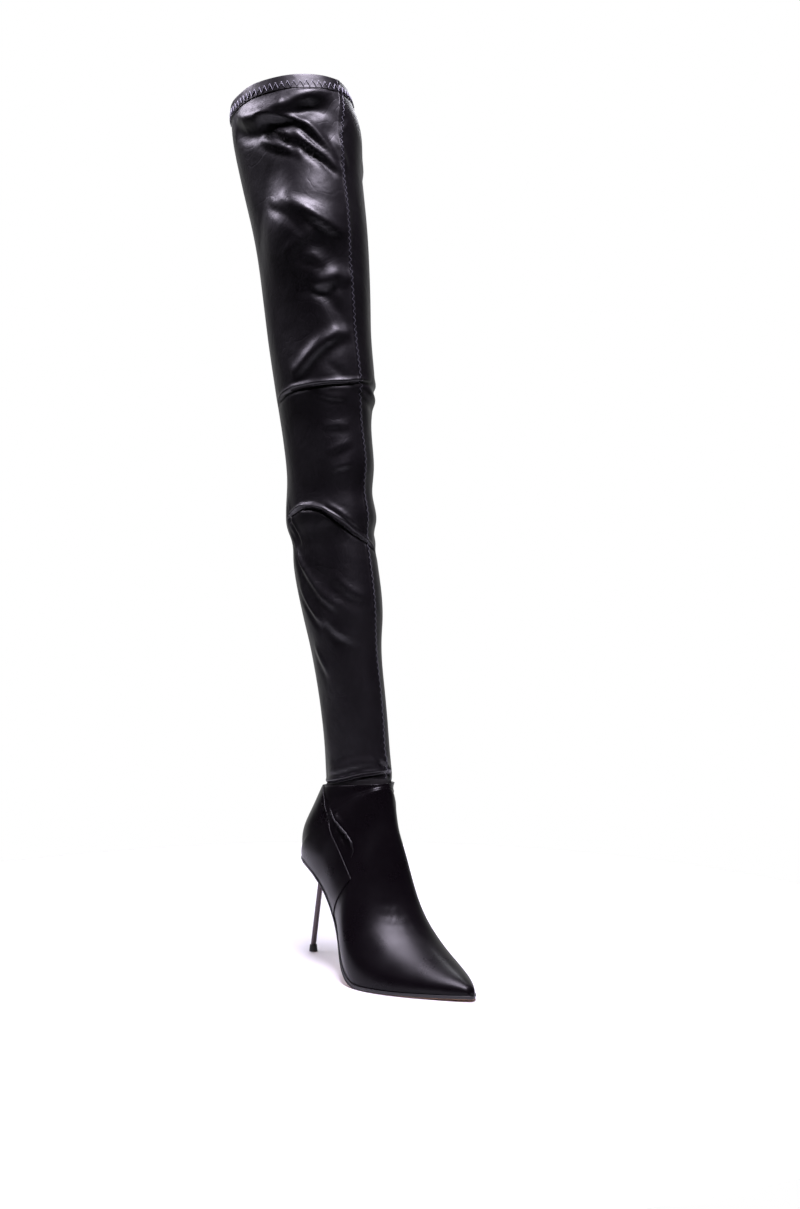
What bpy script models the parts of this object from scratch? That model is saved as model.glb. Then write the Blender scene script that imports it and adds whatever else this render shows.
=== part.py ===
"""Thigh high stiletto boot for the right foot, empty, standing on its heel tip and its forefoot.

Metres, +Z up. The toe points to -Y and the outer side of the foot is at -X.
The origin is the centre of the heel tip's underside, on the floor.
"""

import math
from collections import namedtuple

import bmesh
import bpy
from mathutils import Vector

# Foot: plan, sole line and last
FOOT_LENGTH = 0.226  # back of the heel to the point of the toe, in plan
BALL_WIDTH = 0.076  # across the joints of the toes
SEAT_WIDTH = 0.049  # across the heel seat
HEEL_RISE = 0.0915  # underside of the sole above the floor, at the back
TOE_SPRING = 0.0020  # underside of the sole above the floor, at the toe
INSTEP_HEIGHT = 0.100  # tallest section of the vamp, above the sole
COUNTER_HEIGHT = 0.0640  # back seam, from the heel seat to the ankle line
HEEL_SETBACK = 0.003  # how far the heel tip's centre stands behind the back of the heel

# Sheet thicknesses
SOLE_THICKNESS = 0.0032
SOLE_LEDGE = 0.0009  # how far the sole stands out past the upper
SOLE_EDGE_ROUND = 0.0011  # the underside's worn-in bevel
INSOLE_THICKNESS = 0.0015
INSOLE_EASE = 0.0012  # clearance to the upper's walls
PLATE_END = 0.0012  # half width of a sole's blunt end
UPPER_WALL = 0.0016
QUARTER_WALL = 0.0011
SHAFT_WALL = 0.0012
GAP = 0.0003  # clearance between pieces that touch on the real boot

# Heel: a metal pin with a moulded tip
PIN_DIAMETER = 0.0050
PIN_FLARE_DIAMETER = 0.0120
PIN_FLARE_LENGTH = 0.0110
PIN_SEAT_ALONG = 0.0185  # centre of the pin's top, in front of the tip's centre
TIP_DIAMETER = 0.0080
TIP_NECK_DIAMETER = 0.0068
TIP_HEIGHT = 0.0062
TIP_SOCKET_DEPTH = 0.0028
TIP_EDGE = 0.0003  # bevel of the tip's edges

# Shaft: a stretch tube that leans back over the heel
SHAFT_HEIGHT = 0.644  # from the ankle line to the collar's front
SHAFT_TUCK = 0.010  # sewn inside the top of the upper
SHAFT_EASE = 0.0016  # how far the shaft draws in where it leaves the upper
COLLAR_DEPTH = 0.137  # front to back
COLLAR_WIDTH = 0.115  # side to side
LEAN_BACK = 0.092  # centre of the collar behind the centre of the ankle
LEAN_OUT = 0.021  # the same, towards the outer side
COLLAR_RAKE = 0.017  # front of the collar above its back
HEM_HEIGHT = 0.0130
HEM_STEP = 0.0007  # the turned hem stands this far out
SEAM_WIDTH = 0.0046  # front seam of the shaft, opened flat
SEAM_STEP = 0.0005
STEP_RUN = 0.0006  # over which the seam and the hem rise to their steps

# Quarter: the stiff panel that wraps the heel; places are shares of the foot's length
QUARTER_SEAM_ALONG = 0.340  # foot of its seam, on the sole line
QUARTER_POINT_ALONG = 0.468  # the foremost point of its front edge
QUARTER_POINT_RISE = -0.12  # height of that point above the heel seat, as a share of the counter
QUARTER_TOP_ALONG = 0.172  # where its front edge meets the ankle line
QUARTER_BOW = 0.86  # how its front edge curves: 1 is straight
QUARTER_TURN = 0.25  # share of the edge's levels below its foremost point

# Mesh fineness
WELD = 1e-6
FOOT_STEPS = 22
COUNTER_STEPS = 6
HALF_COLUMNS = 14
SHAFT_STEPS = 34
QUARTER_COLUMNS = 10  # of each side's half columns, from the sole up
SHAFT_COLUMNS = 28
ROUND_COLUMNS = 24

# One row for each section of the foot, heel to toe.
# along: share of FOOT_LENGTH. rise: share of HEEL_RISE. spring: share of TOE_SPRING. Below 0 is flat.
# outer, inner: half widths of the sole, shares of the breadth there.
# ridge: where the section meets the vamp's top line, share of FOOT_LENGTH. tall: share of INSTEP_HEIGHT.
# shift: the ridge's place across, share of BALL_WIDTH. swell: how much wider the last is than its sole.
# belly: height of the widest place, share of the section. crown: 2 is round, less is ridged.
FootRow = namedtuple("FootRow", "along rise spring outer inner ridge tall shift swell belly crown")
FOOT_ROWS = [
    FootRow(0.000, 1.000, 0.00, 0.000, 0.000, 0.452, 0.690, 0.16, 0.600, 0.40, 2.25),
    FootRow(0.015, 0.997, 0.00, 0.250, 0.250, 0.453, 0.692, 0.16, 0.350, 0.36, 2.25),
    FootRow(0.055, 0.983, 0.00, 0.425, 0.425, 0.454, 0.700, 0.16, 0.180, 0.32, 2.25),
    FootRow(0.115, 0.945, 0.00, 0.500, 0.500, 0.456, 0.715, 0.16, 0.115, 0.30, 2.22),
    FootRow(0.195, 0.850, 0.00, 0.500, 0.478, 0.460, 0.750, 0.16, 0.120, 0.30, 2.15),
    FootRow(0.283, 0.672, 0.00, 0.440, 0.370, 0.468, 0.830, 0.16, 0.115, 0.32, 2.05),
    FootRow(0.372, 0.430, 0.00, 0.402, 0.285, 0.480, 0.930, 0.16, 0.100, 0.34, 1.92),
    FootRow(0.460, 0.190, 0.00, 0.460, 0.287, 0.503, 1.000, 0.16, 0.080, 0.33, 1.82),
    FootRow(0.549, 0.040, 0.00, 0.536, 0.368, 0.545, 0.848, 0.163, 0.045, 0.30, 1.72),
    FootRow(0.637, -0.030, 0.00, 0.528, 0.458, 0.604, 0.618, 0.165, 0.030, 0.28, 1.66),
    FootRow(0.726, -0.020, -0.10, 0.430, 0.494, 0.683, 0.432, 0.175, 0.025, 0.28, 1.65),
    FootRow(0.814, 0.000, 0.17, 0.270, 0.480, 0.775, 0.294, 0.19, 0.025, 0.30, 1.68),
    FootRow(0.903, 0.000, 0.52, 0.062, 0.423, 0.877, 0.180, 0.205, 0.022, 0.34, 1.76),
    FootRow(0.965, 0.000, 0.81, -0.104, 0.351, 0.945, 0.112, 0.225, 0.012, 0.40, 1.80),
    FootRow(0.995, 0.000, 0.97, -0.192, 0.289, 0.986, 0.062, 0.24, 0.010, 0.45, 1.90),
]
RIDGE_TURN = 1.25  # how late a section leans over to its ridge: 1 is straight
TIP_NOSE = 0.006  # the point of the toe past the last row, share of FOOT_LENGTH

# The closed sections above the heel seat. along: where the back seam runs, share of FOOT_LENGTH.
# climb: share of COUNTER_HEIGHT. half: half width, share of BALL_WIDTH. The other columns are as above.
CounterRow = namedtuple("CounterRow", "along climb ridge tall shift half belly crown")
ANKLE_SHIFT = 0.17  # the leg stands this far to the inner side, share of BALL_WIDTH
COUNTER_ROWS = [
    CounterRow(-0.011, 0.16, 0.451, 0.600, 0.02, 0.386, 0.40, 2.22),
    CounterRow(-0.008, 0.36, 0.450, 0.470, 0.05, 0.380, 0.42, 2.18),
    CounterRow(0.018, 0.57, 0.448, 0.340, 0.08, 0.364, 0.44, 2.12),
    CounterRow(0.045, 0.79, 0.445, 0.210, 0.12, 0.364, 0.46, 2.06),
    CounterRow(0.070, 1.00, 0.441, 0.085, 0.17, 0.374, 0.48, 2.00),
]


# One row for each section of the shaft, bottom to top. up: share of SHAFT_HEIGHT.
# lean: share of LEAN_BACK and LEAN_OUT. depth, width: 0 is the ankle and 1 the collar.
# seam: how far the front seam is turned to the inner side, in degrees.
ShaftRow = namedtuple("ShaftRow", "up lean depth width seam")
SHAFT_ROWS = [
    ShaftRow(0.000, 0.00, 0.00, 0.00, 11.0),
    ShaftRow(0.040, 0.029, -0.05, -0.05, 11.0),
    ShaftRow(0.120, 0.086, -0.02, -0.02, 11.0),
    ShaftRow(0.190, 0.172, 0.06, 0.06, 12.0),
    ShaftRow(0.245, 0.230, 0.22, 0.22, 11.0),
    ShaftRow(0.310, 0.325, 0.27, 0.27, 12.0),
    ShaftRow(0.348, 0.364, 0.23, 0.23, 12.0),
    ShaftRow(0.375, 0.392, 0.38, 0.38, 12.0),
    ShaftRow(0.410, 0.431, 0.32, 0.32, 13.0),
    ShaftRow(0.450, 0.411, 0.35, 0.35, 12.0),
    ShaftRow(0.510, 0.459, 0.38, 0.38, 9.0),
    ShaftRow(0.560, 0.469, 0.52, 0.52, 6.0),
    ShaftRow(0.630, 0.545, 0.57, 0.57, 4.0),
    ShaftRow(0.700, 0.593, 0.66, 0.66, 3.0),
    ShaftRow(0.795, 0.689, 0.77, 0.77, 4.0),
    ShaftRow(0.870, 0.804, 0.87, 0.87, 5.0),
    ShaftRow(0.935, 0.885, 1.00, 1.00, 8.0),
    ShaftRow(0.970, 0.950, 0.96, 0.96, 13.0),
    ShaftRow(1.000, 1.00, 0.88, 0.88, 17.0),
]


def place(along, across, height):
    """The point that lies along in front of the heel tip and across to the inner side."""
    return Vector((across, -along, height))


def smooth_rows(rows, steps):
    """Rows read at even steps from a Catmull-Rom curve through the table's rows."""
    last = len(rows) - 1
    found = []
    for step in range(steps + 1):
        k = min(int(step / steps * last), last - 1)
        t = step / steps * last - k
        near = rows[k]
        columns = zip(rows[max(k - 1, 0)], near, rows[k + 1], rows[min(k + 2, last)])
        found.append(type(near)(*(catmull_rom(*column, t) for column in columns)))
    return found


def catmull_rom(before, start, end, after, t):
    """The value at t between start and end on a smooth curve through four values."""
    bend = 2 * before - 5 * start + 4 * end - after
    twist = 3 * start - before - 3 * end + after
    return start + 0.5 * ((end - before) * t + bend * t**2 + twist * t**3)


def ease(low, high, value):
    """0 below low, 1 above high, and a smooth ramp between."""
    t = min(max((value - low) / (high - low), 0.0), 1.0)
    return t * t * (3 - 2 * t)


def breadth(along):
    """The width that a foot row's shares follow: the seat's at the back, the ball's in front."""
    return SEAT_WIDTH + (BALL_WIDTH - SEAT_WIDTH) * ease(0.20, 0.50, along)


def underside(row):
    """Height of the sole's underside at a foot row. The forefoot lies flat on the floor."""
    return max(row.rise, 0.0) * HEEL_RISE + max(row.spring, 0.0) * TOE_SPRING


FOOT = smooth_rows(FOOT_ROWS, FOOT_STEPS)
SEAT_ROW = CounterRow(
    along=0.0,
    climb=0.0,
    ridge=FOOT_ROWS[0].ridge,
    tall=FOOT_ROWS[0].tall,
    shift=0.0,
    half=FOOT_ROWS[0].swell * SEAT_WIDTH / BALL_WIDTH,
    belly=FOOT_ROWS[0].belly,
    crown=FOOT_ROWS[0].crown,
)
COUNTER = smooth_rows([SEAT_ROW, *COUNTER_ROWS], COUNTER_STEPS)[1:]
BACK = HEEL_SETBACK  # the back of the heel, in front of the tip's centre
SEAT_TOP = HEEL_RISE + SOLE_THICKNESS


def underside_at(along):
    """Height of the sole's underside at any distance in front of the heel tip."""
    share = (along - BACK) / FOOT_LENGTH
    for near, far in zip(FOOT, FOOT[1:]):
        if share <= far.along:
            t = max(share - near.along, 0.0) / (far.along - near.along)
            return underside(near) + (underside(far) - underside(near)) * t
    return underside(FOOT[-1])


def section(low, top, middle, ridge, foot_half, half, belly, crown):
    """A section's points from its outer foot over the ridge to its inner foot.

    low and top are the (along, height) of its two ends in side view, and middle and ridge their
    places across. It stands foot_half wide to each side and swells to half at the belly.
    """
    start = -math.acos(foot_half / half)
    curve = []
    for k in range(HALF_COLUMNS + 1):
        a = start + (math.pi / 2 - start) * k / HALF_COLUMNS
        if a < 0:
            curve.append((half * math.cos(a), belly * (1 - math.sin(a) / math.sin(start))))
        else:
            reach = half * max(math.cos(a), 0.0) ** (2 / crown)
            curve.append((reach, belly + (1 - belly) * math.sin(a) ** (2 / crown)))
    both = [(-reach, share) for reach, share in curve] + curve[-2::-1]
    return [
        place(
            low[0] + (top[0] - low[0]) * share,
            middle + (ridge - middle) * share**RIDGE_TURN + reach,
            low[1] + (top[1] - low[1]) * share,
        )
        for reach, share in both
    ]


def foot_section(row):
    """The last's section at one foot row, open at the sole."""
    wide = breadth(row.along)
    low = (BACK + row.along * FOOT_LENGTH, underside(row) + SOLE_THICKNESS + GAP)
    top = (BACK + row.ridge * FOOT_LENGTH, low[1] + row.tall * INSTEP_HEIGHT)
    middle = (row.inner - row.outer) / 2 * wide
    foot_half = max((row.inner + row.outer) / 2 * wide, 0.0)
    half = foot_half + row.swell * wide
    return section(low, top, middle, row.shift * BALL_WIDTH, foot_half, half, row.belly, row.crown)


def counter_section(row):
    """The last's closed section above the heel seat."""
    low = (BACK + row.along * FOOT_LENGTH, SEAT_TOP + GAP + row.climb * COUNTER_HEIGHT)
    top = (BACK + row.ridge * FOOT_LENGTH, low[1] + row.tall * INSTEP_HEIGHT)
    middle = row.shift * BALL_WIDTH
    return section(low, top, middle, ANKLE_SHIFT * BALL_WIDTH, 0.0, row.half * BALL_WIDTH, row.belly, row.crown)


def add_rows(bm, rows):
    """Vertices for each row of points."""
    return [[bm.verts.new(point) for point in row] for row in rows]


def skin(bm, rows, closed=False, ridge=None):
    """Triangles between neighbouring rows of vertices, with mirrored diagonals past a ridge column."""
    for near, far in zip(rows, rows[1:]):
        count = len(near)
        for k in range(count if closed else count - 1):
            n = (k + 1) % count
            if ridge is None or k < ridge:
                bm.faces.new((near[k], near[n], far[n]))
                bm.faces.new((near[k], far[n], far[k]))
            else:
                bm.faces.new((near[k], near[n], far[k]))
                bm.faces.new((near[n], far[n], far[k]))


def sheet_normals(rows):
    """The outward normal at each point of a sheet whose coinciding points are welded."""
    bm = bmesh.new()
    skin(bm, add_rows(bm, rows), ridge=HALF_COLUMNS)
    keys = [[tuple(round(c, 6) for c in point) for point in row] for row in rows]
    bmesh.ops.remove_doubles(bm, verts=bm.verts, dist=WELD)
    bm.normal_update()
    normals = {tuple(round(c, 6) for c in vert.co): vert.normal.copy() for vert in bm.verts}
    bm.free()
    return [[normals[key] for key in row] for row in keys]


def new_object(name, bm, colour, roughness, metallic=0.0):
    """Links a finished mesh as one named sub-part with its own material."""
    bmesh.ops.remove_doubles(bm, verts=bm.verts, dist=WELD)
    bmesh.ops.recalc_face_normals(bm, faces=bm.faces)
    mesh = bpy.data.meshes.new(name)
    bm.to_mesh(mesh)
    bm.free()
    mesh.shade_smooth()
    mesh.set_sharp_from_angle(angle=math.radians(40))
    material = bpy.data.materials.new(name)
    material.use_nodes = True
    shader = material.node_tree.nodes["Principled BSDF"]
    shader.inputs["Base Color"].default_value = (*colour, 1.0)
    shader.inputs["Roughness"].default_value = roughness
    shader.inputs["Metallic"].default_value = metallic
    mesh.materials.append(material)
    made = bpy.data.objects.new(name, mesh)
    bpy.context.scene.collection.objects.link(made)
    return made


def last_rows():
    """The last's sections from the toe back to the heel and up to the ankle."""
    return [foot_section(row) for row in reversed(FOOT)] + [counter_section(row) for row in COUNTER]


def last_sheet(out):
    """The last's sections moved square to its surface, outwards or, below zero, inwards.

    Near the point of the toe the move is held to a share of the section's size. The open edge
    keeps its height above the sole.
    """
    rows = last_rows()
    normals = sheet_normals(rows)
    moved = []
    for index, (points, square) in enumerate(zip(rows, normals)):
        middle = sum(points, Vector()) / len(points)
        room = min((point - middle).length for point in points)
        by = max(out, -0.45 * room)
        line = [point + normal * by for point, normal in zip(points, square)]
        if index < len(FOOT):
            for end in (0, -1):
                level = Vector((square[end].x, square[end].y, 0.0)).normalized()
                line[end] = points[end] + level * by
                line[end].z = underside_at(-line[end].y) + SOLE_THICKNESS + GAP
        moved.append(line)
    return moved


def make_upper():
    """Vamp and inner quarters as one lasted shell, open at the ankle and where the sole closes it."""
    bm = bmesh.new()
    outer, inner = add_rows(bm, last_sheet(0.0)), add_rows(bm, last_sheet(-UPPER_WALL))
    skin(bm, outer, ridge=HALF_COLUMNS)
    skin(bm, inner, ridge=HALF_COLUMNS)
    skin(bm, [outer[-1], inner[-1]])
    foot_rows = len(FOOT)
    for end in (0, -1):
        skin(bm, [[row[end] for row in outer[:foot_rows]], [row[end] for row in inner[:foot_rows]]])
    first = FOOT[-1]
    noses = []
    for rows, pull in ((outer, 0.0), (inner, UPPER_WALL)):
        along = BACK + (first.along + TIP_NOSE) * FOOT_LENGTH - pull
        height = underside_at(along) + SOLE_THICKNESS + GAP
        nose = bm.verts.new(place(along, first.shift * BALL_WIDTH, height))
        for a, b in zip(rows[0], rows[0][1:]):
            bm.faces.new((a, b, nose))
        noses.append(nose)
    for end in (0, -1):
        bm.faces.new((outer[0][end], inner[0][end], noses[1], noses[0]))
    return new_object("upper", bm, (0.012, 0.012, 0.014), 0.38)


def plan_edges(rows, out):
    """(along, across) of the sole's outer and inner edge at each row, moved square to the edge."""
    edges = []
    for side in (-1, 1):
        line = []
        for row in rows:
            share = row.outer if side < 0 else row.inner
            line.append(Vector((BACK + row.along * FOOT_LENGTH, side * share * breadth(row.along))))
        moved = []
        for k, point in enumerate(line):
            run = line[min(k + 1, len(line) - 1)] - line[max(k - 1, 0)]
            square = Vector((-run.y, run.x)).normalized() * side
            if k == 0 and rows[0] is FOOT[0]:
                square = Vector((-1.0, 0.0))
            moved.append(point + square * out)
        edges.append(moved)
    return list(zip(*edges))


def make_plate(name, rows, out, bottom, thickness, bevel, colour, roughness):
    """A sole or insole: a loft of flat sections that follows the foot's rows.

    bottom is its height above the sole's underside, and bevel draws in the lower edge.
    """
    bm = bmesh.new()
    loops = []
    for outer, inner in plan_edges(rows, out):
        middle = (outer + inner) / 2
        spread = (inner - outer) / 2
        if spread.y < PLATE_END:
            spread = Vector((0.0, PLATE_END))
        cut = 1 - min(bevel / spread.y, 0.5)
        profile = [(-1, 1), (-1, 0.5), (-cut, 0), (0, 0), (cut, 0), (1, 0.5), (1, 1), (0, 1)]
        loop = []
        for side, level in profile:
            at = middle + spread * side
            loop.append(place(at.x, at.y, underside_at(at.x) + bottom + thickness * level))
        loops.append(loop)
    rings = add_rows(bm, loops)
    skin(bm, rings, closed=True)
    for end in (0, -1):
        cap = bm.faces.new(rings[end])
        bmesh.ops.triangulate(bm, faces=[cap])
    return new_object(name, bm, colour, roughness)


def make_outsole():
    """Thin outsole in one piece from toe to heel seat, with its arch and toe spring."""
    last = FOOT[-1]
    tip = last._replace(along=last.along + TIP_NOSE, outer=-last.shift, inner=last.shift)
    return make_plate(
        "outsole",
        [*FOOT, tip],
        SOLE_LEDGE,
        0.0,
        SOLE_THICKNESS,
        SOLE_EDGE_ROUND,
        (0.02, 0.018, 0.018),
        0.45,
    )


def make_insole():
    """Insole that lies on the sole inside the upper's walls."""
    return make_plate(
        "insole",
        FOOT[1:-3],
        -UPPER_WALL - INSOLE_EASE,
        SOLE_THICKNESS + GAP,
        INSOLE_THICKNESS,
        INSOLE_THICKNESS,
        (0.05, 0.045, 0.04),
        0.8,
    )


def ring(centre, radius, axis, count=ROUND_COLUMNS):
    """A circle of points about an axis."""
    turn = Vector((0.0, 0.0, 1.0)).rotation_difference(axis)
    return [
        centre + turn @ Vector((radius * math.cos(a), radius * math.sin(a), 0.0))
        for a in (2 * math.pi * k / count for k in range(count))
    ]


def make_heel_pin():
    """Polished metal pin from the tip's socket to a flare that seats under the sole."""
    foot = Vector((0.0, 0.0, TIP_HEIGHT - TIP_SOCKET_DEPTH + GAP))
    seat_along = PIN_SEAT_ALONG
    head = place(seat_along, 0.0, underside_at(seat_along) - GAP)
    length = (head - foot).length
    upright = Vector((0.0, 0.0, 1.0))
    radius = PIN_DIAMETER / 2
    flare = PIN_FLARE_DIAMETER / 2
    loops = [
        ring(foot, radius - GAP, upright),
        ring(foot + upright * TIP_SOCKET_DEPTH, radius - GAP, upright),
        ring(foot + upright * (TIP_SOCKET_DEPTH + GAP), radius, upright),
    ]
    start = foot + upright * (TIP_SOCKET_DEPTH + GAP)
    run = head - start
    for share in (0.33, 0.66):
        loops.append(ring(start + run * share, radius, run.normalized()))
    flare_share = PIN_FLARE_LENGTH / length
    for t in (0.0, 0.35, 0.65, 0.85):
        share = 1 - flare_share * (1 - t)
        loops.append(ring(start + run * share, radius + (flare - radius) * t**3, run.normalized()))
    top = []
    for point in ring(head, flare, upright):
        top.append(Vector((point.x, point.y, underside_at(-point.y) - GAP)))
    loops.append(top)
    bm = bmesh.new()
    rings = add_rows(bm, loops)
    skin(bm, rings, closed=True)
    bm.faces.new(rings[0])
    crown = bm.verts.new(head)
    for k, vert in enumerate(rings[-1]):
        bm.faces.new((vert, rings[-1][(k + 1) % ROUND_COLUMNS], crown))
    return new_object("heel_pin", bm, (0.30, 0.28, 0.28), 0.18, 1.0)


def make_heel_tip():
    """Moulded heel tip with a blind socket for the pin."""
    upright = Vector((0.0, 0.0, 1.0))
    socket = PIN_DIAMETER / 2
    floor = TIP_HEIGHT - TIP_SOCKET_DEPTH
    profile = [
        (TIP_DIAMETER / 2 - TIP_EDGE, 0.0),
        (TIP_DIAMETER / 2, TIP_EDGE),
        (TIP_NECK_DIAMETER / 2, TIP_HEIGHT - TIP_EDGE),
        (TIP_NECK_DIAMETER / 2 - TIP_EDGE, TIP_HEIGHT),
        (socket, TIP_HEIGHT),
        (socket, floor),
    ]
    bm = bmesh.new()
    rings = add_rows(bm, [ring(upright * height, radius, upright) for radius, height in profile])
    skin(bm, rings, closed=True)
    bm.faces.new(rings[0])
    bm.faces.new(rings[-1])
    return new_object("heel_tip", bm, (0.015, 0.015, 0.015), 0.5)


def ankle_frame():
    """Centre, rake and half sizes of the upper's top section, inside its wall."""
    row = COUNTER[-1]
    low = (BACK + row.along * FOOT_LENGTH, SEAT_TOP + GAP + row.climb * COUNTER_HEIGHT)
    top = (BACK + row.ridge * FOOT_LENGTH, low[1] + row.tall * INSTEP_HEIGHT)
    depth = math.hypot(top[0] - low[0], top[1] - low[1])
    rake = math.atan2(top[1] - low[1], top[0] - low[0])
    clear = UPPER_WALL + GAP
    centre = ((low[0] + top[0]) / 2, (low[1] + top[1]) / 2)
    return centre, rake, depth / 2 - clear, row.half * BALL_WIDTH - clear


def counter_shift(drop):
    """How far the back of the last stands to the inner side, at a drop below the ankle line."""
    climb = 1 - drop / COUNTER_HEIGHT
    for near, far in zip(COUNTER, COUNTER[1:]):
        if climb <= far.climb:
            t = (climb - near.climb) / (far.climb - near.climb)
            return (near.shift + (far.shift - near.shift) * t) * BALL_WIDTH
    return COUNTER[-1].shift * BALL_WIDTH


def shaft_loop(along, across, height, rake, half_depth, half_width, seam, step, out):
    """One section of the shaft. seam turns its columns, step raises the seam, out moves it outwards."""
    found = []
    seam_half = SEAM_WIDTH / 2
    offsets = [-seam_half - STEP_RUN, -seam_half, 0.0, seam_half, seam_half + STEP_RUN]
    radius = (half_depth + half_width) / 2
    angles = [(offset / radius, abs(offset) <= seam_half) for offset in offsets]
    first = angles[-1][0]
    plain = SHAFT_COLUMNS
    angles += [(first + (2 * math.pi - 2 * first) * k / plain, False) for k in range(1, plain)]
    for angle, raised in angles:
        turn = angle + math.radians(seam)
        lift = out + (step if raised else 0.0)
        forward = (half_depth + lift) * math.cos(turn)
        inward = (half_width + lift) * math.sin(turn)
        found.append(
            place(along + forward * math.cos(rake), across + inward, height + forward * math.sin(rake))
        )
    return found


def make_shaft():
    """Stretch shaft in one tube, with its front seam and turned hem as steps in the wall."""
    centre, rake, ankle_depth, ankle_width = ankle_frame()
    collar_rake = math.asin(COLLAR_RAKE / COLLAR_DEPTH)
    outside, inside = [], []

    def add(up, lean, depth, width, seam, out):
        at = (
            centre[0] - LEAN_BACK * lean,
            counter_shift(-SHAFT_HEIGHT * up) - LEAN_OUT * lean,
            centre[1] + SHAFT_HEIGHT * up,
            rake + (collar_rake - rake) * min(max(up, 0.0), 1.0),
            ankle_depth + (COLLAR_DEPTH / 2 - ankle_depth) * depth,
            ankle_width + (COLLAR_WIDTH / 2 - ankle_width) * width,
            seam,
        )
        outside.append(shaft_loop(*at, SEAM_STEP if up > 0 else 0.0, out))
        inside.append(shaft_loop(*at, 0.0, -SHAFT_WALL))

    tuck = SHAFT_TUCK / SHAFT_HEIGHT
    rows = smooth_rows(SHAFT_ROWS, SHAFT_STEPS)
    bottom = rows[0]
    add(-tuck, 0.0, bottom.depth, bottom.width, bottom.seam, -1.5 * SHAFT_EASE)
    hem = 1 - HEM_HEIGHT / SHAFT_HEIGHT
    run = STEP_RUN / SHAFT_HEIGHT
    for row in rows:
        if row.up < hem - 4 * run:
            add(*row, 0.0 if row.up else -SHAFT_EASE)
    for up, out in ((hem - run, 0.0), (hem, HEM_STEP), (1 - run, HEM_STEP), (1.0, HEM_STEP / 2)):
        above = next(row for row in rows if row.up >= up)
        below = rows[rows.index(above) - 1]
        t = (up - below.up) / (above.up - below.up)
        add(*(low + (high - low) * t for low, high in zip(below, above)), out)
    bm = bmesh.new()
    outer, inner = add_rows(bm, outside), add_rows(bm, inside)
    skin(bm, outer, closed=True)
    skin(bm, inner, closed=True)
    for end in (0, -1):
        skin(bm, [outer[end], inner[end]], closed=True)
    return new_object("shaft", bm, (0.012, 0.012, 0.014), 0.33)


def quarter_front(level):
    """(along, height) of the quarter's front edge at a level: 0 on the sole line, 1 on the ankle line."""
    centre, rake = ankle_frame()[:2]
    seam_along = BACK + QUARTER_SEAM_ALONG * FOOT_LENGTH
    foot = (seam_along, underside_at(seam_along) + SOLE_THICKNESS + 2 * GAP)
    point_along = BACK + QUARTER_POINT_ALONG * FOOT_LENGTH
    point = (point_along, SEAT_TOP + QUARTER_POINT_RISE * COUNTER_HEIGHT)
    top_along = BACK + QUARTER_TOP_ALONG * FOOT_LENGTH
    top = (top_along, centre[1] + (top_along - centre[0]) * math.tan(rake) - GAP)
    if level < QUARTER_TURN:
        t = level / QUARTER_TURN
        return foot[0] + (point[0] - foot[0]) * t, foot[1] + (point[1] - foot[1]) * t
    t = (level - QUARTER_TURN) / (1 - QUARTER_TURN)
    return point[0] + (top[0] - point[0]) * t**QUARTER_BOW, point[1] + (top[1] - point[1]) * t


def make_quarter():
    """Stiff back quarter that wraps the heel: the last's own surface, cut to its V-shaped front edge."""
    reach = max(k for k, row in enumerate(FOOT) if row.along < QUARTER_POINT_ALONG + 0.06) + 1
    start = len(FOOT) - reach
    far, near = last_sheet(GAP + QUARTER_WALL)[start:], last_sheet(GAP)[start:]
    bm = bmesh.new()
    for turn in (1, -1):
        outer, inner = (
            [row[::turn][:QUARTER_COLUMNS] for row in add_rows(bm, sheet)] for sheet in (far, near)
        )
        skin(bm, outer)
        skin(bm, inner)
        for end in (0, -1):
            skin(bm, [outer[end], inner[end]])
        skin(bm, [[row[-1] for row in outer], [row[-1] for row in inner]])
        skin(bm, [[row[0] for row in outer[:reach]], [row[0] for row in inner[:reach]]])
    loose = [vert for vert in bm.verts if not vert.link_faces]
    bmesh.ops.delete(bm, geom=loose, context="VERTS")
    quarter = new_object("quarter", bm, (0.012, 0.012, 0.014), 0.4)
    cut = quarter.modifiers.new("front_edge", "BOOLEAN")
    cut.operation = "INTERSECT"
    cut.solver = "MANIFOLD"
    cut.object = quarter_cutter()
    return quarter


def quarter_cutter():
    """A prism across the foot whose outline is the quarter's side view."""
    outline = [quarter_front(level / 12) for level in range(13)]
    back = BACK - 0.15 * FOOT_LENGTH
    outline.append((outline[-1][0], outline[-1][1] + BALL_WIDTH))
    outline.append((back, outline[-1][1]))
    seam = outline[0][0]
    for step in range(12):
        along = back + (seam - back) * step / 12
        outline.append((along, underside_at(max(along, BACK)) + SOLE_THICKNESS + 2 * GAP))
    bm = bmesh.new()
    side = [bm.verts.new(place(along, -BALL_WIDTH, height)) for along, height in outline]
    grown = bmesh.ops.extrude_face_region(bm, geom=[bm.faces.new(side)])
    moved = [item for item in grown["geom"] if isinstance(item, bmesh.types.BMVert)]
    bmesh.ops.translate(bm, verts=moved, vec=place(0.0, 2 * BALL_WIDTH, 0.0))
    cutter = new_object("quarter_cutter", bm, (0.5, 0.5, 0.5), 0.5)
    cutter.hide_render = True
    cutter.display_type = "WIRE"
    return cutter


def clear_scene():
    """Removes the objects that a new file starts with."""
    for old in list(bpy.data.objects):
        bpy.data.objects.remove(old)


def main():
    clear_scene()
    root = bpy.data.objects.new("boot", None)
    bpy.context.scene.collection.objects.link(root)
    parts = [
        make_upper(),
        make_quarter(),
        make_outsole(),
        make_insole(),
        make_shaft(),
        make_heel_pin(),
        make_heel_tip(),
    ]
    for part in parts:
        part.parent = root


main()
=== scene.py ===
import math

import bmesh
import bpy
import numpy as np
from mathutils import Matrix, Vector
from mathutils.bvhtree import BVHTree


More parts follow.
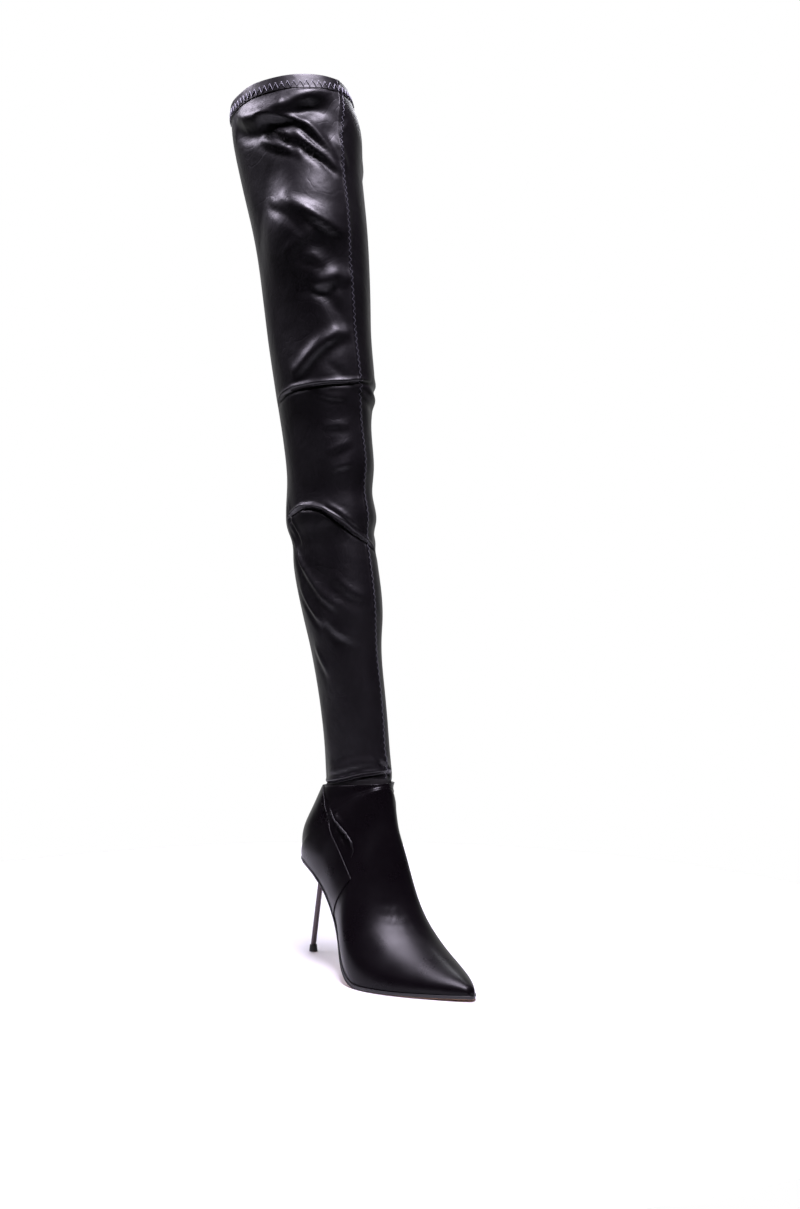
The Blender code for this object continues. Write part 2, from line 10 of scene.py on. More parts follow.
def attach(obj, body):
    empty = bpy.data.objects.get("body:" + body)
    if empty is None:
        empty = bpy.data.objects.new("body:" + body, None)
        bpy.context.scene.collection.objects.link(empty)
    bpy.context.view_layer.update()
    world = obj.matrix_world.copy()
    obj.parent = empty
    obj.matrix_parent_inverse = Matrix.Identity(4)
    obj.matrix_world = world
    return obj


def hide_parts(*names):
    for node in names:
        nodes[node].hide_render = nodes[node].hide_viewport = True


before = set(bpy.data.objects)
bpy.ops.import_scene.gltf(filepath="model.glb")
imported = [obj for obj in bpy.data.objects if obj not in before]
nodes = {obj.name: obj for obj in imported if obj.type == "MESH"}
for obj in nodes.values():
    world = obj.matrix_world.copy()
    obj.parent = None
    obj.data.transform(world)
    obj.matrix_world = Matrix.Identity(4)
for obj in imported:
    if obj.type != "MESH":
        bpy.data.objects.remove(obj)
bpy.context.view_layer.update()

# Camera
# At the photograph's place: level with the calf, on the outer side and a little in front.
# The line of sight lies 30 degrees from the foot's length, before the small yaw and pitch.
SENSOR = 36.0
PHOTO_HEIGHT = 1209
FOCAL_PIXELS = 1500
CAMERA_PLACE = (-0.7100, -1.2298, 0.3285)
CAMERA_YAW = math.radians(3.3)
CAMERA_PITCH = math.radians(-0.04)
ahead = Vector((0.5, math.sqrt(0.75), 0.0))
right = Vector((math.sqrt(0.75), -0.5, 0.0))
aim = ahead * math.cos(CAMERA_YAW) + right * math.sin(CAMERA_YAW)
side = right * math.cos(CAMERA_YAW) - ahead * math.sin(CAMERA_YAW)
behind = -(aim * math.cos(CAMERA_PITCH) + Vector((0, 0, math.sin(CAMERA_PITCH))))
camera = bpy.data.objects.new("camera", bpy.data.cameras.new("camera"))
camera.data.sensor_width = SENSOR
camera.data.lens = SENSOR * FOCAL_PIXELS / PHOTO_HEIGHT
camera.location = CAMERA_PLACE
camera.rotation_mode = "QUATERNION"
camera.rotation_quaternion = Matrix((side, behind.cross(side), behind)).transposed().to_quaternion()
bpy.context.scene.collection.objects.link(camera)
bpy.context.scene.camera = camera

# Leg
# A close tube of glossy stretch imitation leather on a knitted lining, cut in one piece and closed by a
# front seam. It is sewn to the foot at the ankle, and it stands here by its own stiffness, so it sinks
# into folds at the thigh, knee and calf.
LEG_LOW = Vector((0.0115, -0.060, 0.160))
LEG_TOP = Vector((-0.0070, 0.028, 0.800))
# The leg's radius at its foot and at its top, the height where it starts, and its length, in millimetres.
LEG_RADIUS = (36.0, 58.0)
LEG_START = 160
LEG_LENGTH = 640
# Each fold: its points as (height in millimetres, angle round the leg in degrees, 0 in front and
# positive to the inner side), then its width, its lift, and the drop beneath it, in millimetres.
FOLDS = [
    # under the hem
    ([(787, -98), (779, -80), (777, -66), (780, -52), (786, -36), (795, -18), (804, 0)], 8.5, 6.8, 4.5),
    ([(696, -76), (676, -36), (668, 12)], 40.0, 12.5, 0.0),
    ([(786, -40), (783, -20), (778, -4), (768, 10)], 9.0, -4.5, 0.0),
    ([(774, -18), (762, -4), (748, 6)], 10.0, -3.5, 0.0),
    ([(780, -64), (774, -46), (772, -30), (766, -21), (759, -15), (750, -9), (734, 2)], 3.6, 3.6, 3.0),
    ([(770, -56), (760, -41), (750, -31), (739, -25)], 3.2, 2.4, 2.6),
    ([(757, -66), (748, -50), (743, -36), (736, -25)], 3.4, 2.4, 1.4),
    ([(761, -32), (750, -24), (741, -14), (735, -7), (722, 3)], 3.6, 3.4, 3.8),
    ([(758, -2), (745, 5), (726, 9)], 3.4, 1.8, 0.8),
    # front of the thigh
    ([(699, -62), (686, -43), (674, -32), (662, -24)], 3.4, 1.2, 2.2),
    ([(700, -50), (689, -34), (676, -20), (668, -8), (664, 2)], 5.0, 4.4, 2.0),
    ([(695, -38), (694, -20), (688, 0)], 8.0, -1.4, 0.0),
    ([(666, -22), (653, -38), (642, -52)], 5.0, 2.4, 0.0),
    ([(650, -42), (656, -24), (648, -12), (628, 0)], 8.0, -3.2, 0.0),
    ([(644, -36), (642, -25), (635, -17)], 2.8, 2.0, 0.0),
    ([(627, -20), (629, -33), (635, -46)], 2.8, 1.8, 0.0),
    ([(617, -32), (621, -18), (627, -8), (620, 2)], 6.0, 3.6, 1.5),
    ([(612, -44), (614, -30), (607, -17), (594, -9), (575, -3)], 5.0, -2.6, 0.0),
    ([(538, -64), (543, -50), (555, -36), (566, -24), (573, -12), (575, 0)], 5.5, 5.0, 1.6),
    ([(547, -24), (539, -13), (529, -2)], 3.6, -1.2, 0.0),
    # knee
    (
        [(516, -120), (521, -95), (526, -64), (528, -40), (529, -22), (530, -8), (532, 8), (533, 26)],
        1.5,
        2.6,
        3.6,
    ),
    ([(530, 2), (523, 16), (517, 30), (512, 46)], 4.5, 2.4, 1.5),
    ([(520, -34), (515, -20), (515, -6)], 2.6, 1.2, 0.8),
    ([(489, -32), (490, -18), (490, -4)], 3.2, 1.2, 0.6),
    ([(465, -30), (470, -17), (476, -4)], 3.6, 1.2, 0.6),
    ([(450, -26), (453, -15), (457, -4)], 3.2, 1.0, 0.5),
    # below the knee
    (
        [(405, -126), (413, -104), (418, -78), (418, -56), (415, -41)]
        + [(409, -29), (402, -17), (394, -5), (385, 14), (377, 32)],
        1.7,
        2.8,
        3.4,
    ),
    ([(421, -40), (412, -22), (402, -8), (394, 6)], 2.8, 1.5, 0.5),
    ([(427, -126), (414, -113), (400, -101), (384, -92)], 3.0, 1.2, 2.4),
    ([(402, -130), (388, -121), (374, -106), (358, -92)], 3.0, 1.5, 1.0),
    ([(378, -112), (356, -84), (336, -56), (324, -30)], 4.5, 2.0, 1.6),
    ([(346, -112), (326, -86), (308, -58)], 4.0, 1.8, 1.4),
    ([(322, -62), (304, -36), (294, -8)], 5.0, 1.6, 1.0),
    ([(356, -40), (340, -18), (331, 4)], 5.0, 1.5, 1.0),
    ([(290, -104), (276, -84), (264, -62)], 5.0, 1.2, 0.8),
    ([(372, -76), (352, -50), (335, -24)], 8.0, -0.8, 0.0),
    ([(346, -66), (326, -38), (311, -10)], 8.0, 0.7, 0.0),
    # ankle
    ([(196, 0), (184, 12), (174, 26)], 2.6, 1.2, 1.8),
    ([(173, -120), (179, -60), (186, -22), (188, 24)], 5.0, 2.4, 0.0),
    (
        [(165, -150), (166, -125), (168, -95), (170, -70), (173, -45), (177, -22), (179, 0), (179, 30)],
        1.9,
        3.4,
        2.6,
    ),
    ([(161, -140), (162, -110), (165, -80), (168, -50), (171, -25), (172, -5)], 1.4, 1.6, 1.0),
    # inner side and back, where the photograph doesn't show them
    ([(533, 24), (529, 60), (522, 100), (518, 140), (516, 175)], 4.0, 2.0, 2.0),
    ([(379, 30), (392, 66), (404, 104), (408, 140)], 4.0, 2.0, 1.8),
    ([(440, 90), (446, 120), (440, 150)], 5.0, 1.4, 1.0),
    ([(500, 84), (494, 120), (498, 160)], 5.0, 1.4, 1.0),
    ([(640, 50), (628, 84), (640, 120)], 7.0, 1.8, 1.0),
    ([(742, 40), (728, 80), (738, 120)], 7.0, 1.8, 1.0),
]
# A fold broader than this dies out gently at its ends, and its drop lies this many widths beneath it.
BROAD_FOLD = 10.0
DROP_PLACE = 1.7
# At a fold narrower than this, the points within reach are drawn this share closer to it.
SHARP_FOLD = 2.0
GATHER_SHARE = 0.55
GATHER_REACH = 9.0
# Slow unevenness of the cloth: waves round the leg, millimetres up it per radian, size, and start.
WAVES = ((2, 31, 0.30, 0.4), (3, 19, 0.25, 1.9), (1, 47, 0.35, 4.0), (5, 23, 0.12, 2.6))
# The ankle's line: its height behind, its rise, and where the rise starts and how long it is.
ANKLE_HEIGHT = 159
ANKLE_RISE = 8.5
ANKLE_BACK = 19
ANKLE_LENGTH = 84
# The hem stays smooth. From the loose height up, the rim wavers: waves round it, size, and start.
HEM_HEIGHT = 13
LOOSE_HEIGHT = 760
LOOSE_LENGTH = 40
RIM_WAVES = ((5, 0.45, 1.0), (9, 0.25, 0.0))
RIM_HEIGHT = 0.78
# Edges sharper than this angle are held when a solid is smoothed, and its corners stay in their places.
EDGE_ANGLE = math.radians(50)
EDGE_HELD = 0.75
CORNER_RETURN = 0.85


def points_of(made):
    """A mesh's points as an array."""
    flat = np.empty(len(made.data.vertices) * 3)
    made.data.vertices.foreach_get("co", flat)
    return flat.reshape(-1, 3)


def move(made, points):
    """Gives a mesh new points."""
    made.data.vertices.foreach_set("co", points.ravel())
    made.data.update()


def refined(node, name, levels, keep=None):
    """A CAD node's copy in quads, subdivided through its corners, with its sharp edges held."""
    bm = bmesh.new()
    bm.from_mesh(nodes[node].data)
    bmesh.ops.remove_doubles(bm, verts=bm.verts, dist=1e-6)
    bmesh.ops.join_triangles(
        bm,
        faces=bm.faces,
        angle_face_threshold=math.pi,
        angle_shape_threshold=math.pi,
        topology_influence=1.0,
    )
    bm.normal_update()
    crease = bm.edges.layers.float.new("crease_edge")
    for edge in bm.edges:
        if edge.is_manifold and edge.calc_face_angle() > EDGE_ANGLE:
            edge[crease] = EDGE_HELD
    if keep:
        away = [face for face in bm.faces if not keep(face)]
        bmesh.ops.delete(bm, geom=away, context="FACES")
    mesh = bpy.data.meshes.new(name)
    bm.to_mesh(mesh)
    bm.free()
    made = bpy.data.objects.new(name, mesh)
    bpy.context.scene.collection.objects.link(made)
    smooth = made.modifiers.new("smooth", "SUBSURF")
    smooth.levels = smooth.render_levels = levels
    corners = points_of(made)
    rounded = bpy.data.meshes.new_from_object(made.evaluated_get(bpy.context.evaluated_depsgraph_get()))
    flat = np.empty(len(rounded.vertices) * 3)
    rounded.vertices.foreach_get("co", flat)
    lost = corners - flat.reshape(-1, 3)[: len(corners)]
    move(made, corners + CORNER_RETURN * lost)
    made.data = bpy.data.meshes.new_from_object(made.evaluated_get(bpy.context.evaluated_depsgraph_get()))
    made.modifiers.clear()
    made.data.name = name
    made.data.shade_smooth()
    made.data.materials.clear()
    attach(made, "root")
    return made


def from_line(at, line):
    """Distance of each point from a line of points, the offset from it, and the share along it."""
    line = np.asarray(line, float)
    runs = np.linalg.norm(np.diff(line, axis=0), axis=1)
    passed = np.concatenate([[0.0], np.cumsum(runs)])
    best = np.full(len(at), np.inf)
    offset = np.zeros_like(at)
    share = np.zeros(len(at))
    for k, run in enumerate(runs):
        step = line[k + 1] - line[k]
        t = np.clip((at - line[k]) @ step / run**2, 0, 1)
        gap = at - line[k] - t[:, None] * step
        far = np.linalg.norm(gap, axis=1)
        nearer = far < best
        best[nearer] = far[nearer]
        offset[nearer] = gap[nearer]
        share[nearer] = ((passed[k] + t * run) / passed[-1])[nearer]
    return best, offset, share


def fold(at, line, width, out, under=0.0, up=(0, 1)):
    """How far a fold along a line lifts each point: out on the line, under it the other way."""
    far, offset, share = from_line(at, line)
    fade = np.sin(np.pi * np.clip(share, 0.0, 1.0)) ** (0.6 if width < BROAD_FOLD else 1.6)
    above = np.sign(offset @ np.asarray(up, float)) * far
    crest = out * np.exp(-((far / width) ** 2))
    trough = under * np.exp(-(((above + DROP_PLACE * width) / width) ** 2))
    return fade * (crest - trough)


def leg_axis(height):
    """The middle of the leg at each height, across and back."""
    t = (height - LEG_LOW.z) / (LEG_TOP.z - LEG_LOW.z)
    return LEG_LOW.x + (LEG_TOP.x - LEG_LOW.x) * t, LEG_LOW.y + (LEG_TOP.y - LEG_LOW.y) * t


def unrolled(height, angle):
    """(distance round the leg, height) in millimetres, from millimetres and degrees."""
    t = (height - LEG_START) / LEG_LENGTH
    radius = LEG_RADIUS[0] + (LEG_RADIUS[1] - LEG_RADIUS[0]) * t
    return np.stack([np.radians(angle) * radius, height], -1)


def fold_leg(made):
    """Gathers the leg's points at its sharp folds, and moves them in and out along all folds."""
    points = points_of(made)
    x, y = leg_axis(points[:, 2])
    out = np.stack([points[:, 0] - x, points[:, 1] - y], -1)
    angle = np.degrees(np.arctan2(out[:, 0], -out[:, 1]))
    height = points[:, 2] * 1000
    for line in [np.array(row[0], float) for row in FOLDS if row[1] < SHARP_FOLD]:
        far, offset = from_line(unrolled(height, angle), unrolled(line[:, 0], line[:, 1]))[:2]
        height -= GATHER_SHARE * offset[:, 1] * np.exp(-((far / GATHER_REACH) ** 2))
    points[:, 2] = height / 1000
    x, y = leg_axis(points[:, 2])
    points[:, 0] = x + out[:, 0]
    points[:, 1] = y + out[:, 1]
    at = unrolled(height, angle)
    lift = np.zeros(len(points))
    for line, width, crest, under in FOLDS:
        line = np.array(line, float)
        near = np.abs(height - line[:, 0].mean()) < np.ptp(line[:, 0]) / 2 + 5 * width
        lift[near] += fold(at[near], unrolled(line[:, 0], line[:, 1]), width, crest, under)
    turn = np.radians(angle)
    for waves, rise, size, phase in WAVES:
        lift += size * np.sin(waves * turn + height / rise + phase)
    ankle = ANKLE_HEIGHT + ANKLE_RISE * np.clip((-points[:, 1] * 1000 - ANKLE_BACK) / ANKLE_LENGTH, 0, 1)
    above_ankle = np.clip((height - ankle - 0.5) / 2.5, 0, 1)
    held = above_ankle * np.clip((rim_height(angle) - HEM_HEIGHT - height) / 4, 0, 1)
    slack = sum(size * np.sin(waves * turn + phase) for waves, size, phase in RIM_WAVES)
    lift = lift * held + slack * np.clip((height - LOOSE_HEIGHT) / LOOSE_LENGTH, 0, 1)
    points[:, :2] += out / np.linalg.norm(out, axis=1)[:, None] * (lift / 1000)[:, None]
    move(made, points)


def faces_out(face):
    """True for the leg's outer wall and its two rims, and false where a face looks inwards."""
    middle = face.calc_center_median()
    x, y = leg_axis(middle.z)
    return face.normal.dot(Vector((middle.x - x, middle.y - y, 0.0)).normalized()) > -0.5


leg = refined("shaft", "leg", 3, faces_out)
leg_lining = refined("shaft", "leg_lining", 2, lambda face: not faces_out(face))
rim = np.array([v.co for v in leg_lining.data.vertices if v.co.z > RIM_HEIGHT])
rim_angle = np.degrees(np.arctan2(rim[:, 0] - leg_axis(rim[:, 2])[0], -(rim[:, 1] - leg_axis(rim[:, 2])[1])))
bins = np.arange(-180, 181, 10)
rim_line = [rim[np.abs((rim_angle - b + 180) % 360 - 180) < 6, 2].max() * 1000 for b in bins]


def rim_height(angle):
    """Height of the collar's rim at an angle, in millimetres."""
    return np.interp(angle, bins, rim_line)


for made in (leg, leg_lining):
    fold_leg(made)
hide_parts("shaft")


def linear(code):
    """An sRGB hex colour as the linear RGBA that a shader takes."""
    parts = [int(code[k : k + 2], 16) / 255 for k in (1, 3, 5)]
    return (*((p / 12.92 if p <= 0.04045 else ((p + 0.055) / 1.055) ** 2.4) for p in parts), 1.0)


def material(name):
    """A new material's node tree and its shader."""
    made = bpy.data.materials.new(name)
    made.use_nodes = True
    return made, made.node_tree, made.node_tree.nodes["Principled BSDF"]


def add(tree, kind, settings=(), links=()):
    """A node with its settings, and links from its inputs to other nodes' outputs."""
    node = tree.nodes.new(kind)
    for key, value in dict(settings).items():
        if hasattr(node, str(key)):
            setattr(node, key, value)
        else:
            node.inputs[key].default_value = value
    for key, source in dict(links).items():
        tree.links.new(source, node.inputs[key])
    return node


def leather(name, colour, roughness, gloss_level, grain, bump, soft):
    """Polyurethane imitation leather, cast smooth: faint pores, soft slack and an uneven gloss."""
    made, tree, shader = material(name)
    where = add(tree, "ShaderNodeTexCoord").outputs["Object"]
    pores = add(tree, "ShaderNodeTexNoise", {"Scale": 1 / grain, "Detail": 3.0}, {"Vector": where})
    # patches about 20 mm wide are a little duller or glossier than the rest
    cloud = add(tree, "ShaderNodeTexNoise", {"Scale": 45.0, "Detail": 4.0}, {"Vector": where})
    gloss = add(
        tree,
        "ShaderNodeMapRange",
        {"From Min": 0.3, "From Max": 0.7, "To Min": roughness - 0.04, "To Max": roughness + 0.05},
        {"Value": cloud.outputs["Fac"]},
    )
    tree.links.new(gloss.outputs["Result"], shader.inputs["Roughness"])
    # slack of the sheet about 12 mm across, and thin grooves about 45 mm apart
    slack = add(tree, "ShaderNodeTexNoise", {"Scale": 80.0, "Detail": 2.0}, {"Vector": where})
    height = add(
        tree,
        "ShaderNodeMath",
        {"operation": "MULTIPLY_ADD", 1: soft},
        {0: slack.outputs["Fac"], 2: pores.outputs["Fac"]},
    )
    bent = {"Scale": 22.0, "Detail": 2.0, "Distortion": 1.2}
    bends = add(tree, "ShaderNodeTexNoise", bent, {"Vector": where})
    off = add(tree, "ShaderNodeMath", {"operation": "SUBTRACT", 1: 0.5}, {0: bends.outputs["Fac"]})
    far = add(tree, "ShaderNodeMath", {"operation": "ABSOLUTE"}, {0: off.outputs[0]})
    groove = add(tree, "ShaderNodeMath", {"operation": "MINIMUM", 1: 0.03}, {0: far.outputs[0]})
    height = add(
        tree,
        "ShaderNodeMath",
        {"operation": "MULTIPLY_ADD", 1: soft * 5},
        {0: groove.outputs[0], 2: height.outputs[0]},
    )
    relief = add(
        tree,
        "ShaderNodeBump",
        {"Strength": bump, "Distance": 0.0002},
        {"Height": height.outputs[0]},
    )
    tree.links.new(relief.outputs["Normal"], shader.inputs["Normal"])
    shader.inputs["Base Color"].default_value = linear(colour)
    shader.inputs["Specular IOR Level"].default_value = gloss_level
    return made


# Stretch polyurethane leather: near black with a violet cast, glossy enough for bright lines on its folds.
# Its pores are about 0.4 mm and are drawn 1.1 mm wide, so that they show.
stretch = leather("stretch_imitation_leather", "#0b080c", 0.42, 0.40, 0.0011, 0.14, 16.0)
leg.data.materials.append(stretch)


def grained(name, dark, light, roughness, grain, bump):
    """A plain finish with a fine grain in millimetres, which shades its colour and roughness a little."""
    made, tree, shader = material(name)
    where = add(tree, "ShaderNodeTexCoord").outputs["Object"]
    fine = {"Scale": 1000 / grain, "Detail": 3.0}
    speck = add(tree, "ShaderNodeTexNoise", fine, {"Vector": where}).outputs["Fac"]
    tint = add(tree, "ShaderNodeMix", {"data_type": "RGBA"}, {0: speck})
    tint.inputs[6].default_value = linear(dark)
    tint.inputs[7].default_value = linear(light)
    tree.links.new(tint.outputs[2], shader.inputs["Base Color"])
    duller = {"To Min": roughness - 0.1, "To Max": roughness + 0.1}
    gloss = add(tree, "ShaderNodeMapRange", duller, {"Value": speck})
    tree.links.new(gloss.outputs["Result"], shader.inputs["Roughness"])
    relief = add(tree, "ShaderNodeBump", {"Strength": bump, "Distance": 0.0001}, {"Height": speck})
    tree.links.new(relief.outputs["Normal"], shader.inputs["Normal"])
    return made


# Brushed polyester tricot: black, matt and slightly mottled by its nap.
lining = grained("brushed_polyester_lining", "#121011", "#2a2728", 0.88, 0.5, 0.8)
leg_lining.data.materials.append(lining)

# Seams of the leg
# The front seam is opened flat and sewn down, and the hem is turned in and sewn, both with a zigzag of
# filament thread that catches the light. The front seam's line is given as (height, angle).
SEAM = [(812, 17), (790, 12), (750, 5), (700, 4), (640, 4), (580, 5)]
SEAM += [(520, 7), (460, 11), (400, 12), (340, 11), (280, 11), (172, 11)]
HEM_SEAM = 9.5
# A ray that finds the surface starts this far out, in metres.
RAY_START = 0.2


def surface(made):
    """A mesh's tree for finding its surface."""
    faces = [face.vertices[:] for face in made.data.polygons]
    return BVHTree.FromPolygons([v.co for v in made.data.vertices], faces)


leg_skin = surface(leg)


def on_leg(height, angle):
    """The point and normal of the leg's outside at a height in millimetres and an angle in degrees."""
    z = height / 1000
    x, y = leg_axis(z)
    out = Vector((math.sin(math.radians(angle)), -math.cos(math.radians(angle)), 0.0))
    return leg_skin.ray_cast(Vector((x, y, z)) + out * RAY_START, -out)[:2]


def thread(name, path, half, pitch, thickness, finish):
    """A zigzag of thread along points and normals of the leg's surface."""
    points = [point for point, normal in path]
    runs = [0.0]
    for a, b in zip(points, points[1:]):
        runs.append(runs[-1] + (b - a).length)
    curve = bpy.data.curves.new(name, "CURVE")
    curve.dimensions = "3D"
    curve.bevel_depth = thickness / 2
    curve.bevel_resolution = 0
    curve.use_fill_caps = True
    spline = curve.splines.new("POLY")
    count = int(runs[-1] / (pitch / 2))
    spline.points.add(count - 1)
    k = 0
    for index in range(count):
        far = index * pitch / 2
        while k < len(runs) - 2 and runs[k + 1] < far:
            k += 1
        t = (far - runs[k]) / (runs[k + 1] - runs[k])
        at = points[k].lerp(points[k + 1], t)
        normal = path[k][1].lerp(path[k + 1][1], t).normalized()
        across = normal.cross(points[k + 1] - points[k]).normalized()
        near, square = leg_skin.find_nearest(at + across * half * (-1) ** index)[:2]
        spline.points[index].co = (*(near + square * thickness * 0.5), 1.0)
    made = bpy.data.objects.new(name, curve)
    bpy.context.scene.collection.objects.link(made)
    mesh = bpy.data.meshes.new_from_object(made.evaluated_get(bpy.context.evaluated_depsgraph_get()))
    bpy.data.objects.remove(made)
    sewn = bpy.data.objects.new(name, mesh)
    bpy.context.scene.collection.objects.link(sewn)
    mesh.shade_smooth()
    mesh.materials.clear()
    mesh.materials.append(finish)
    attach(sewn, "root")


# Filament polyester thread, black, round and smooth: its pale grey colour is a painted highlight for its
# sheen, so each stitch shows as a pale stroke on the black leather.
hem_thread_painted_sheen = grained("black_hem_thread_painted_sheen", "#7d7c86", "#a9a8b2", 0.38, 0.3, 0.5)
# The same thread dyed black, coloured mid grey as a painted highlight so that it shows where it catches the
# light.
seam_thread_painted_sheen = grained("black_seam_thread_painted_sheen", "#5c5b63", "#7a7982", 0.38, 0.3, 0.5)
heights = np.arange(172.0, 808.0, 1.5)
turns = np.interp(heights, [h for h, a in SEAM][::-1], [a for h, a in SEAM][::-1])
front_path = [on_leg(h, a) for h, a in zip(heights, turns)]
thread("front_seam_thread", front_path, half=0.0014, pitch=0.0056, thickness=0.0005, finish=seam_thread_painted_sheen)
around = np.arange(-180.0, 181.0, 2.0)
hem_path = [on_leg(h - HEM_SEAM, a) for h, a in zip(rim_height(around), around)]
thread("hem_thread", hem_path, half=0.0033, pitch=0.0058, thickness=0.0009, finish=hem_thread_painted_sheen)

# Foot
# The vamp and the inner quarter are one smooth satin sheet, pulled over a pointed last and glued under.
# At the side a stretch gusset lets the foot in, and it lies slack in two folds.
# Each fold: points across, back and up in millimetres, then its width, lift and drop.
VAMP_FOLDS = [
    ([(-20, -50, 156), (-22, -66, 141), (-21, -83, 132), (-18, -96, 121), (-18, -101, 110)], 2.0, 2.6, 2.6),
    ([(-19, -48, 150), (-22, -75, 131), (-21, -89, 119), (-19, -97, 109)], 2.0, 1.6, 1.6),
    ([(-8, -90, 163), (-10, -94, 148), (-13, -97, 136), (-16, -102, 116), (-19, -105, 104)], 1.3, 0.35, 0.0),
    ([(-14, -130, 72), (-4, -135, 71), (8, -136, 70)], 2.2, 0.35, 0.30),
    ([(-15, -136, 64), (-2, -141, 62), (10, -143, 62)], 2.2, 0.40, 0.35),
    ([(-12, -143, 56), (0, -148, 54), (12, -150, 54)], 2.4, 0.35, 0.35),
]
vamp = refined("upper", "vamp", 2)
# The front of the ankle, where the faces meet in a fan that is smoothed out.
ANKLE_FRONT = Vector((0.012, -0.1055, 0.163))
FAN_REACH = 0.021
FAN_PASSES = 24
# The smoothing ends just short of the vamp's top edge, which rises to the front from this height and place.
TOP_HEIGHT = 0.159
TOP_BACK = 0.0188
TOP_SLOPE = 0.1013
TOP_GAP = 0.0008
bm = bmesh.new()
bm.from_mesh(vamp.data)
near_fan = [v for v in bm.verts if (v.co - ANKLE_FRONT).length < FAN_REACH]
loose = [v for v in near_fan if v.co.z < TOP_HEIGHT + TOP_SLOPE * (-v.co.y - TOP_BACK) - TOP_GAP]
for _ in range(FAN_PASSES):
    bmesh.ops.smooth_vert(bm, verts=loose, factor=0.5, use_axis_x=True, use_axis_y=True, use_axis_z=True)
bm.to_mesh(vamp.data)
bm.free()
points = points_of(vamp)
normals = np.empty(points.size)
vamp.data.vertices.foreach_get("normal", normals)
lift = np.zeros(len(points))
for line, width, crest, under in VAMP_FOLDS:
    lift += fold(points * 1000, line, width, crest, under, (0, 0, 1))
move(vamp, points + normals.reshape(-1, 3) * (lift / 1000)[:, None])
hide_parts("upper")
# Satin polyurethane leather: deeper black than the leg and less glossy, with one soft highlight on the toe.
# Its pores are about 0.3 mm and are drawn 0.9 mm wide, so that they show.
satin = leather("satin_imitation_leather", "#0a070a", 0.30, 0.14, 0.0009, 0.10, 2.0)
vamp.data.materials.append(satin)

# Quarter
# A panel of the same leather on a stiff counter, folded at its front edge and glued over the heel.
# It follows the lasted surface and stands proud of it by its own thickness.
# Its front edge seen from the side: millimetres in front of the heel tip, and up.
QUARTER_EDGE = [(79.8, 49.0), (108.8, 87.0), (96.5, 97.0), (86.0, 108.0)]
QUARTER_EDGE += [(71.9, 124.0), (56.6, 142.5), (41.9, 161.0)]
QUARTER_WALL = 0.0008
# The sheet is free of the vamp's other folds and of the sole, is backed by the vamp's wall, and ends
# short of the toe.
OFF_SKIN = 0.0003
SOLE_REACH = 0.008
WALL_REACH = 0.0026
QUARTER_FRONT = -0.125
SLIVER = 1e-4
# The rolls of the edge and of the gusset's folds: radius, points along each, and rise in radii.
EDGE_RADIUS = 0.0006
FOLD_RADIUS = 0.0009
ROLL_POINTS = 41
ROLL_RISE = 0.6
vamp_skin = surface(vamp)
bm = bmesh.new()
bm.from_mesh(vamp.data)
bm.normal_update()
sole_skin = surface(nodes["outsole"])
away = []
for face in bm.faces:
    middle = face.calc_center_median()
    free = vamp_skin.ray_cast(middle + face.normal * OFF_SKIN, face.normal)[0] is None
    free = free and sole_skin.ray_cast(middle, face.normal, SOLE_REACH)[0] is None
    wall = vamp_skin.ray_cast(middle - face.normal * OFF_SKIN, -face.normal, WALL_REACH)[0]
    if not free or wall is None or middle.y < QUARTER_FRONT:
        away.append(face)
bmesh.ops.delete(bm, geom=away, context="FACES")
edge = [Vector((0.0, -a / 1000, h / 1000)) for a, h in QUARTER_EDGE]
for a, b in zip(edge, edge[1:]):
    run = (b - a).normalized()
    cut = Vector((0.0, -run.z, run.y))
    whole = bm.verts[:] + bm.edges[:] + bm.faces[:]
    bmesh.ops.bisect_plane(bm, geom=whole, dist=1e-6, plane_co=a, plane_no=cut)


def behind_edge(point):
    """True where a point lies on the heel's side of the quarter's front edge."""
    for a, b in zip(edge, edge[1:]):
        if a.z <= point.z < b.z:
            return point.y > a.y + (b.y - a.y) * (point.z - a.z) / (b.z - a.z)
    return point.y > (edge[0].y if point.z < edge[0].z else edge[-1].y)


away = [face for face in bm.faces if not behind_edge(face.calc_center_median())]
bmesh.ops.delete(bm, geom=away, context="FACES")
bmesh.ops.remove_doubles(bm, verts=bm.verts, dist=SLIVER)
# only the largest joined sheet stays
left = set(bm.faces)
sheets = []
while left:
    sheet = [left.pop()]
    for face in sheet:
        beside = {near for side in face.edges for near in side.link_faces} & left
        left -= beside
        sheet.extend(beside)
    sheets.append(sheet)
largest = max(sheets, key=len)
strays = [face for sheet in sheets if sheet is not largest for face in sheet]
bmesh.ops.delete(bm, geom=strays, context="FACES")
mesh = bpy.data.meshes.new("heel_quarter")
bm.to_mesh(mesh)
bm.free()
quarter = bpy.data.objects.new("heel_quarter", mesh)
bpy.context.scene.collection.objects.link(quarter)
solid = quarter.modifiers.new("wall", "SOLIDIFY")
solid.thickness = QUARTER_WALL
solid.offset = 1.0
soft = quarter.modifiers.new("soft_edge", "BEVEL")
soft.width = 0.0003
soft.segments = 2
soft.limit_method = "ANGLE"
soft.angle_limit = EDGE_ANGLE
quarter.data = bpy.data.meshes.new_from_object(quarter.evaluated_get(bpy.context.evaluated_depsgraph_get()))
quarter.modifiers.clear()
quarter.data.shade_smooth()
quarter.data.materials.clear()
quarter.data.materials.append(satin)
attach(quarter, "root")
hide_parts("quarter")


